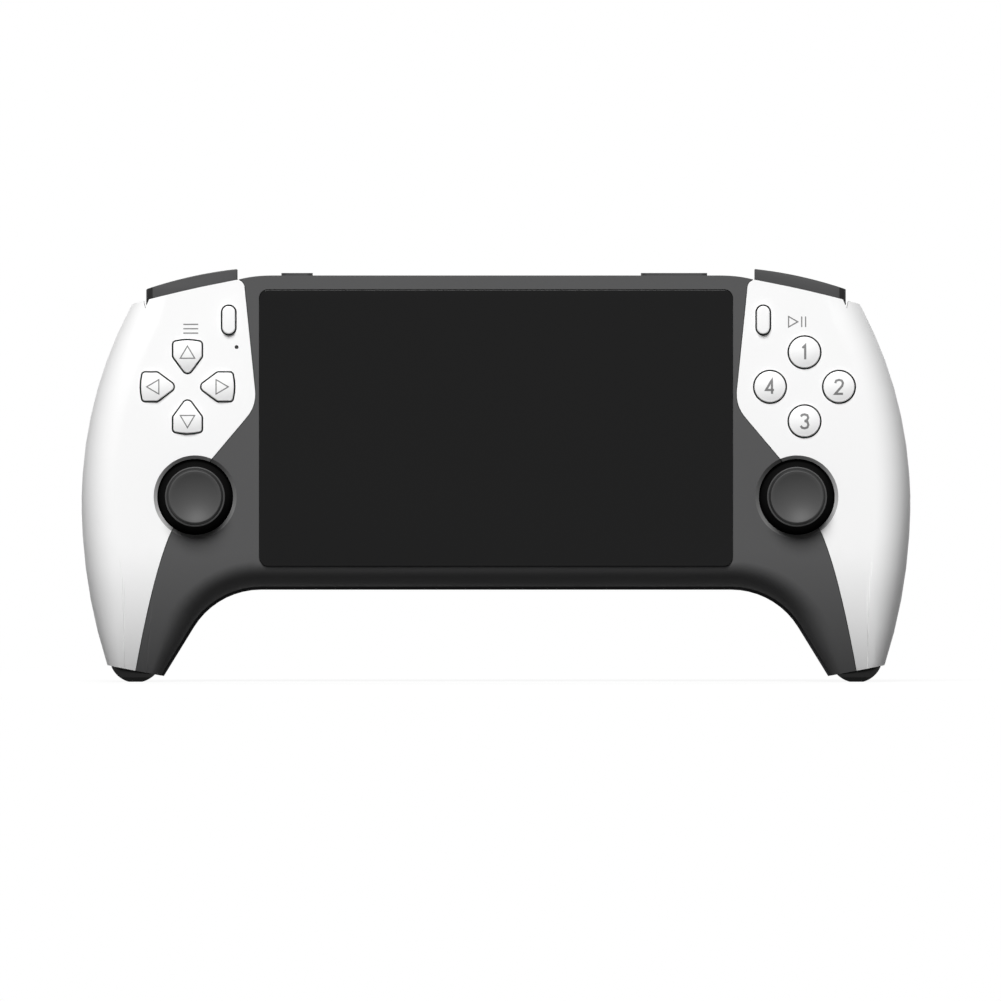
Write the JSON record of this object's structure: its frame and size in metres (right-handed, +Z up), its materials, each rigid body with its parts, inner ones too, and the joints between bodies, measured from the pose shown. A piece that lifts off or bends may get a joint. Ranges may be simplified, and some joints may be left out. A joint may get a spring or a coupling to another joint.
{
  "type": "handheld game console",
  "caption": "Handheld game console with a wide dark screen between two grips, arrow keys, round keys, thumbsticks, bumpers and triggers, standing on its grip feet.",
  "frame": {"origin": "on the ground under the middle of the console's box, with the console standing upright on its two grip feet", "axes": "+X to the right seen from the front, +Y towards the back, +Z up; the screen faces -Y"},
  "size_m": [0.19, 0.041, 0.0946],
  "materials": {
    "frame_plastic": "fine matte grain, dark grey",
    "plate_plastic": "smooth semi-gloss, white",
    "rear_plastic": "fine matte grain, near black",
    "foot_rubber": "soft matte rubber, black",
    "screen_glass": "polished cover glass with a black backing print",
    "gasket_foam": "black adhesive foam",
    "panel_glass": "display panel, off",
    "ribbon_film": "amber film",
    "board_laminate": "green laminate",
    "tin_plate": "tinned sheet",
    "battery_wrap": "dark wrap",
    "lead_plastic": "red insulation",
    "speaker_plastic": "black moulding",
    "key_plastic": "smooth semi-gloss, off-white",
    "membrane_rubber": "grey silicone",
    "stick_rubber": "soft matte, dark grey",
    "stick_plastic": "natural moulding",
    "base_plastic": "dark grey moulding",
    "bumper_plastic": "satin, dark grey",
    "trigger_plastic": "satin, near black",
    "pin_steel": "ground steel",
    "switch_plastic": "black moulding",
    "edge_key_plastic": "satin, dark grey",
    "jack_plastic": "black moulding",
    "light_guide": "smoked light guide",
    "screw_steel": "black oxide"
  },
  "bodies": {
    "console": {"front_shell": "frame_plastic", "left_plate": "plate_plastic", "right_plate": "plate_plastic", "rear_shell": "rear_plastic", "left_foot": "foot_rubber", "right_foot": "foot_rubber", "screen_glass": "screen_glass", "screen_gasket": "gasket_foam", "display_panel": "panel_glass", "display_ribbon": "ribbon_film", "main_board": "board_laminate", "shield_can": "tin_plate", "flat_sockets": "tin_plate", "card_reader": "tin_plate", "battery": "battery_wrap", "battery_lead": "lead_plastic", "left_speaker": "speaker_plastic", "right_speaker": "speaker_plastic", "arrow_membrane": "membrane_rubber", "button_membrane": "membrane_rubber", "select_membrane": "membrane_rubber", "start_membrane": "membrane_rubber", "left_stick_base": "base_plastic", "right_stick_base": "base_plastic", "left_bracket": "base_plastic", "right_bracket": "base_plastic", "left_bumper_pin": "pin_steel", "right_bumper_pin": "pin_steel", "left_trigger_pin": "pin_steel", "right_trigger_pin": "pin_steel", "volume_pin": "pin_steel", "shoulder_switches": "switch_plastic", "edge_switches": "switch_plastic", "headphone_jack": "jack_plastic", "line_jack": "jack_plastic", "status_light": "light_guide", "case_screws": "screw_steel", "board_screws": "screw_steel"},
    "arrow_up": {"arrow_up": "key_plastic"},
    "arrow_down": {"arrow_down": "key_plastic"},
    "arrow_left": {"arrow_left": "key_plastic"},
    "arrow_right": {"arrow_right": "key_plastic"},
    "button_top": {"button_top": "key_plastic"},
    "button_bottom": {"button_bottom": "key_plastic"},
    "button_left": {"button_left": "key_plastic"},
    "button_right": {"button_right": "key_plastic"},
    "select_button": {"select_button": "key_plastic"},
    "start_button": {"start_button": "key_plastic"},
    "left_rocker": {"left_stick_rocker": "stick_plastic"},
    "left_stick": {"left_stick_cap": "stick_rubber", "left_stick_shaft": "stick_plastic"},
    "left_bumper": {"left_bumper": "bumper_plastic"},
    "left_trigger": {"left_trigger": "trigger_plastic"},
    "right_rocker": {"right_stick_rocker": "stick_plastic"},
    "right_stick": {"right_stick_cap": "stick_rubber", "right_stick_shaft": "stick_plastic"},
    "right_bumper": {"right_bumper": "bumper_plastic"},
    "right_trigger": {"right_trigger": "trigger_plastic"},
    "power_button": {"power_button": "edge_key_plastic"},
    "volume_rocker": {"volume_rocker": "edge_key_plastic"}
  },
  "joints": [
    {"name": "arrow_up_press", "type": "slide", "parent": "console", "child": "arrow_up", "axis": [0, 1, 0], "range_m": [0, 0.001], "stiffness_N_per_m": 900, "deforming": ["arrow_membrane"]},
    {"name": "arrow_down_press", "type": "slide", "parent": "console", "child": "arrow_down", "axis": [0, 1, 0], "range_m": [0, 0.001], "stiffness_N_per_m": 900, "deforming": ["arrow_membrane"]},
    {"name": "arrow_left_press", "type": "slide", "parent": "console", "child": "arrow_left", "axis": [0, 1, 0], "range_m": [0, 0.001], "stiffness_N_per_m": 900, "deforming": ["arrow_membrane"]},
    {"name": "arrow_right_press", "type": "slide", "parent": "console", "child": "arrow_right", "axis": [0, 1, 0], "range_m": [0, 0.001], "stiffness_N_per_m": 900, "deforming": ["arrow_membrane"]},
    {"name": "button_top_press", "type": "slide", "parent": "console", "child": "button_top", "axis": [0, 1, 0], "range_m": [0, 0.001], "stiffness_N_per_m": 900, "deforming": ["button_membrane"]},
    {"name": "button_bottom_press", "type": "slide", "parent": "console", "child": "button_bottom", "axis": [0, 1, 0], "range_m": [0, 0.001], "stiffness_N_per_m": 900, "deforming": ["button_membrane"]},
    {"name": "button_left_press", "type": "slide", "parent": "console", "child": "button_left", "axis": [0, 1, 0], "range_m": [0, 0.001], "stiffness_N_per_m": 900, "deforming": ["button_membrane"]},
    {"name": "button_right_press", "type": "slide", "parent": "console", "child": "button_right", "axis": [0, 1, 0], "range_m": [0, 0.001], "stiffness_N_per_m": 900, "deforming": ["button_membrane"]},
    {"name": "select_button_press", "type": "slide", "parent": "console", "child": "select_button", "axis": [0, 1, 0], "range_m": [0, 0.001], "stiffness_N_per_m": 900, "deforming": ["select_membrane"]},
    {"name": "start_button_press", "type": "slide", "parent": "console", "child": "start_button", "axis": [0, 1, 0], "range_m": [0, 0.001], "stiffness_N_per_m": 900, "deforming": ["start_membrane"]},
    {"name": "left_stick_pitch", "type": "hinge", "parent": "console", "child": "left_rocker", "pos_m": [-0.0689, -0.0095, 0.0424], "axis": [1, 0, 0], "range_deg": [-14, 14], "stiffness_Nm_per_rad": 0.04},
    {"name": "left_stick_yaw", "type": "hinge", "parent": "left_rocker", "child": "left_stick", "pos_m": [-0.0689, -0.0095, 0.0424], "axis": [0, 0, 1], "range_deg": [-14, 14], "stiffness_Nm_per_rad": 0.04},
    {"name": "right_stick_pitch", "type": "hinge", "parent": "console", "child": "right_rocker", "pos_m": [0.0689, -0.0095, 0.0424], "axis": [1, 0, 0], "range_deg": [-14, 14], "stiffness_Nm_per_rad": 0.04},
    {"name": "right_stick_yaw", "type": "hinge", "parent": "right_rocker", "child": "right_stick", "pos_m": [0.0689, -0.0095, 0.0424], "axis": [0, 0, 1], "range_deg": [-14, 14], "stiffness_Nm_per_rad": 0.04},
    {"name": "left_bumper_press", "type": "hinge", "parent": "console", "child": "left_bumper", "pos_m": [-0.06299, -0.0059, 0.0886], "axis": [0, -1, 0], "range_deg": [0, 4], "stiffness_Nm_per_rad": 1.2},
    {"name": "left_trigger_pull", "type": "hinge", "parent": "console", "child": "left_trigger", "pos_m": [-0.06918, 0.0031, 0.08739], "axis": [-0.9749, 0, -0.2227], "range_deg": [0, 12], "stiffness_Nm_per_rad": 0.3},
    {"name": "right_bumper_press", "type": "hinge", "parent": "console", "child": "right_bumper", "pos_m": [0.06299, -0.0059, 0.0886], "axis": [0, 1, 0], "range_deg": [0, 4], "stiffness_Nm_per_rad": 1.2},
    {"name": "right_trigger_pull", "type": "hinge", "parent": "console", "child": "right_trigger", "pos_m": [0.06918, 0.0031, 0.08739], "axis": [-0.9749, 0, 0.2227], "range_deg": [0, 12], "stiffness_Nm_per_rad": 0.3},
    {"name": "power_press", "type": "slide", "parent": "console", "child": "power_button", "axis": [0, 0, -1], "range_m": [0, 0.0005], "stiffness_N_per_m": 2000},
    {"name": "volume_rock", "type": "hinge", "parent": "console", "child": "volume_rocker", "pos_m": [0.0408, -0.0082, 0.0886], "axis": [0, 1, 0], "range_deg": [-2.5, 2.5], "stiffness_Nm_per_rad": 0.3}
  ]
}
